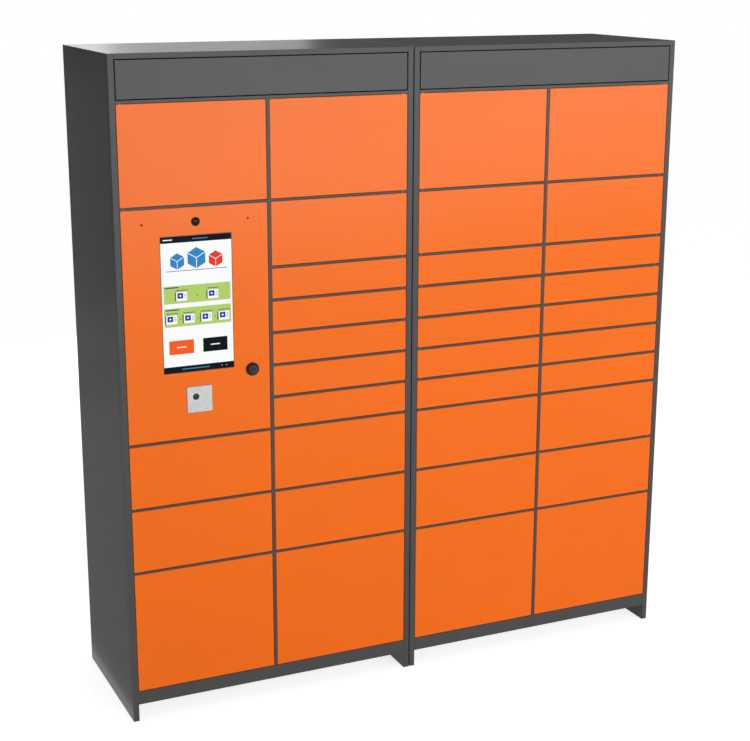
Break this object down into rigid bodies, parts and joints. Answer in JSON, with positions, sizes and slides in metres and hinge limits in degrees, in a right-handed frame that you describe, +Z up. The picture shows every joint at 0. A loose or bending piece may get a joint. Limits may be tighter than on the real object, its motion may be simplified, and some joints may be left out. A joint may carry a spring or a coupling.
{
  "type": "parcel locker",
  "caption": "Free-standing steel parcel locker of joined cabinets with hinged parcel doors and a service door that carries a touchscreen, camera, reader and key lock.",
  "frame": {"origin": "on the floor at the middle of the footprint", "axes": "+Z up, +Y from the doors to the back, +X to the right as seen from the front"},
  "size_m": [1.863, 0.508, 2],
  "materials": {
    "carcass_paint": "satin powder coat",
    "fascia_paint": "satin powder coat",
    "door_paint": "satin powder coat",
    "lock_case": "zinc plated",
    "electronics_case": "satin",
    "rubber": "matte",
    "zinc": "zinc plated",
    "housing_plastic": "matte",
    "screen_glass": "gloss",
    "camera_black": "gloss",
    "reader_steel": "brushed",
    "lock_black": "satin"
  },
  "bodies": {
    "carcass": {"main_side_wall_left": "carcass_paint", "main_side_wall_right": "carcass_paint", "bases": "carcass_paint", "main_divider": "carcass_paint", "main_shelves": "carcass_paint", "main_back_panel": "carcass_paint", "extension_side_wall_left": "carcass_paint", "extension_side_wall_right": "carcass_paint", "hinge_rods": "zinc", "extension_divider": "carcass_paint", "extension_shelves": "carcass_paint", "extension_back_panel": "carcass_paint", "header_floors": "carcass_paint", "top_panels": "carcass_paint", "fascia_panels": "fascia_paint", "electronic_locks": "lock_case", "control_electronics": "electronics_case", "cable_grommet": "rubber", "joining_bolts": "zinc"},
    "door_a1": {"door_a1": "door_paint"},
    "door_a2": {"door_a2": "door_paint"},
    "door_a3": {"door_a3": "door_paint"},
    "door_a4": {"door_a4": "door_paint"},
    "door_b1": {"door_b1": "door_paint"},
    "door_b2": {"door_b2": "door_paint"},
    "door_b3": {"door_b3": "door_paint"},
    "door_b4": {"door_b4": "door_paint"},
    "door_b5": {"door_b5": "door_paint"},
    "door_b6": {"door_b6": "door_paint"},
    "door_b7": {"door_b7": "door_paint"},
    "door_b8": {"door_b8": "door_paint"},
    "door_b9": {"door_b9": "door_paint"},
    "door_b10": {"door_b10": "door_paint"},
    "door_c1": {"door_c1": "door_paint"},
    "door_c2": {"door_c2": "door_paint"},
    "door_c3": {"door_c3": "door_paint"},
    "door_c4": {"door_c4": "door_paint"},
    "door_c5": {"door_c5": "door_paint"},
    "door_c6": {"door_c6": "door_paint"},
    "door_c7": {"door_c7": "door_paint"},
    "door_c8": {"door_c8": "door_paint"},
    "door_c9": {"door_c9": "door_paint"},
    "door_c10": {"door_c10": "door_paint"},
    "door_d1": {"door_d1": "door_paint"},
    "door_d2": {"door_d2": "door_paint"},
    "door_d3": {"door_d3": "door_paint"},
    "door_d4": {"door_d4": "door_paint"},
    "door_d5": {"door_d5": "door_paint"},
    "door_d6": {"door_d6": "door_paint"},
    "door_d7": {"door_d7": "door_paint"},
    "door_d8": {"door_d8": "door_paint"},
    "door_d9": {"door_d9": "door_paint"},
    "door_d10": {"door_d10": "door_paint"},
    "service_door": {"service_door": "door_paint", "display_housing": "housing_plastic", "screen_glass": "screen_glass", "camera": "camera_black", "reader": "reader_steel", "key_lock_body": "lock_black"},
    "key_lock_cam": {"key_lock_cam": "zinc"}
  },
  "joints": [
    {"name": "door_a1_hinge", "type": "hinge", "parent": "carcass", "child": "door_a1", "pos_m": [-0.9, -0.237, 1.71845], "axis": [0, 0, -1], "range_deg": [0, 90]},
    {"name": "door_a2_hinge", "type": "hinge", "parent": "carcass", "child": "door_a2", "pos_m": [-0.9, -0.237, 0.776], "axis": [0, 0, -1], "range_deg": [0, 90]},
    {"name": "door_a3_hinge", "type": "hinge", "parent": "carcass", "child": "door_a3", "pos_m": [-0.9, -0.237, 0.5774], "axis": [0, 0, -1], "range_deg": [0, 90]},
    {"name": "door_a4_hinge", "type": "hinge", "parent": "carcass", "child": "door_a4", "pos_m": [-0.9, -0.237, 0.2858], "axis": [0, 0, -1], "range_deg": [0, 90]},
    {"name": "door_b1_hinge", "type": "hinge", "parent": "carcass", "child": "door_b1", "pos_m": [-0.033, -0.237, 1.71845], "axis": [0, 0, 1], "range_deg": [0, 90]},
    {"name": "door_b2_hinge", "type": "hinge", "parent": "carcass", "child": "door_b2", "pos_m": [-0.033, -0.237, 1.4711], "axis": [0, 0, 1], "range_deg": [0, 90]},
    {"name": "door_b3_hinge", "type": "hinge", "parent": "carcass", "child": "door_b3", "pos_m": [-0.033, -0.237, 1.32215], "axis": [0, 0, 1], "range_deg": [0, 90]},
    {"name": "door_b4_hinge", "type": "hinge", "parent": "carcass", "child": "door_b4", "pos_m": [-0.033, -0.237, 1.22285], "axis": [0, 0, 1], "range_deg": [0, 90]},
    {"name": "door_b5_hinge", "type": "hinge", "parent": "carcass", "child": "door_b5", "pos_m": [-0.033, -0.237, 1.12355], "axis": [0, 0, 1], "range_deg": [0, 90]},
    {"name": "door_b6_hinge", "type": "hinge", "parent": "carcass", "child": "door_b6", "pos_m": [-0.033, -0.237, 1.02425], "axis": [0, 0, 1], "range_deg": [0, 90]},
    {"name": "door_b7_hinge", "type": "hinge", "parent": "carcass", "child": "door_b7", "pos_m": [-0.033, -0.237, 0.92495], "axis": [0, 0, 1], "range_deg": [0, 90]},
    {"name": "door_b8_hinge", "type": "hinge", "parent": "carcass", "child": "door_b8", "pos_m": [-0.033, -0.237, 0.776], "axis": [0, 0, 1], "range_deg": [0, 90]},
    {"name": "door_b9_hinge", "type": "hinge", "parent": "carcass", "child": "door_b9", "pos_m": [-0.033, -0.237, 0.5774], "axis": [0, 0, 1], "range_deg": [0, 90]},
    {"name": "door_b10_hinge", "type": "hinge", "parent": "carcass", "child": "door_b10", "pos_m": [-0.033, -0.237, 0.2858], "axis": [0, 0, 1], "range_deg": [0, 90]},
    {"name": "door_c1_hinge", "type": "hinge", "parent": "carcass", "child": "door_c1", "pos_m": [0.033, -0.237, 1.71845], "axis": [0, 0, -1], "range_deg": [0, 90]},
    {"name": "door_c2_hinge", "type": "hinge", "parent": "carcass", "child": "door_c2", "pos_m": [0.033, -0.237, 1.4711], "axis": [0, 0, -1], "range_deg": [0, 90]},
    {"name": "door_c3_hinge", "type": "hinge", "parent": "carcass", "child": "door_c3", "pos_m": [0.033, -0.237, 1.32215], "axis": [0, 0, -1], "range_deg": [0, 90]},
    {"name": "door_c4_hinge", "type": "hinge", "parent": "carcass", "child": "door_c4", "pos_m": [0.033, -0.237, 1.22285], "axis": [0, 0, -1], "range_deg": [0, 90]},
    {"name": "door_c5_hinge", "type": "hinge", "parent": "carcass", "child": "door_c5", "pos_m": [0.033, -0.237, 1.12355], "axis": [0, 0, -1], "range_deg": [0, 90]},
    {"name": "door_c6_hinge", "type": "hinge", "parent": "carcass", "child": "door_c6", "pos_m": [0.033, -0.237, 1.02425], "axis": [0, 0, -1], "range_deg": [0, 90]},
    {"name": "door_c7_hinge", "type": "hinge", "parent": "carcass", "child": "door_c7", "pos_m": [0.033, -0.237, 0.92495], "axis": [0, 0, -1], "range_deg": [0, 90]},
    {"name": "door_c8_hinge", "type": "hinge", "parent": "carcass", "child": "door_c8", "pos_m": [0.033, -0.237, 0.776], "axis": [0, 0, -1], "range_deg": [0, 90]},
    {"name": "door_c9_hinge", "type": "hinge", "parent": "carcass", "child": "door_c9", "pos_m": [0.033, -0.237, 0.5774], "axis": [0, 0, -1], "range_deg": [0, 90]},
    {"name": "door_c10_hinge", "type": "hinge", "parent": "carcass", "child": "door_c10", "pos_m": [0.033, -0.237, 0.2858], "axis": [0, 0, -1], "range_deg": [0, 90]},
    {"name": "door_d1_hinge", "type": "hinge", "parent": "carcass", "child": "door_d1", "pos_m": [0.9, -0.237, 1.71845], "axis": [0, 0, 1], "range_deg": [0, 90]},
    {"name": "door_d2_hinge", "type": "hinge", "parent": "carcass", "child": "door_d2", "pos_m": [0.9, -0.237, 1.4711], "axis": [0, 0, 1], "range_deg": [0, 90]},
    {"name": "door_d3_hinge", "type": "hinge", "parent": "carcass", "child": "door_d3", "pos_m": [0.9, -0.237, 1.32215], "axis": [0, 0, 1], "range_deg": [0, 90]},
    {"name": "door_d4_hinge", "type": "hinge", "parent": "carcass", "child": "door_d4", "pos_m": [0.9, -0.237, 1.22285], "axis": [0, 0, 1], "range_deg": [0, 90]},
    {"name": "door_d5_hinge", "type": "hinge", "parent": "carcass", "child": "door_d5", "pos_m": [0.9, -0.237, 1.12355], "axis": [0, 0, 1], "range_deg": [0, 90]},
    {"name": "door_d6_hinge", "type": "hinge", "parent": "carcass", "child": "door_d6", "pos_m": [0.9, -0.237, 1.02425], "axis": [0, 0, 1], "range_deg": [0, 90]},
    {"name": "door_d7_hinge", "type": "hinge", "parent": "carcass", "child": "door_d7", "pos_m": [0.9, -0.237, 0.92495], "axis": [0, 0, 1], "range_deg": [0, 90]},
    {"name": "door_d8_hinge", "type": "hinge", "parent": "carcass", "child": "door_d8", "pos_m": [0.9, -0.237, 0.776], "axis": [0, 0, 1], "range_deg": [0, 90]},
    {"name": "door_d9_hinge", "type": "hinge", "parent": "carcass", "child": "door_d9", "pos_m": [0.9, -0.237, 0.5774], "axis": [0, 0, 1], "range_deg": [0, 90]},
    {"name": "door_d10_hinge", "type": "hinge", "parent": "carcass", "child": "door_d10", "pos_m": [0.9, -0.237, 0.2858], "axis": [0, 0, 1], "range_deg": [0, 90]},
    {"name": "service_door_hinge", "type": "hinge", "parent": "carcass", "child": "service_door", "pos_m": [-0.9, -0.237, 1.22285], "axis": [0, 0, -1], "range_deg": [0, 90]},
    {"name": "key_lock_turn", "type": "hinge", "parent": "service_door", "child": "key_lock_cam", "pos_m": [-0.5277, -0.242, 1.07], "axis": [0, 1, 0], "range_deg": [0, 90]}
  ]
}
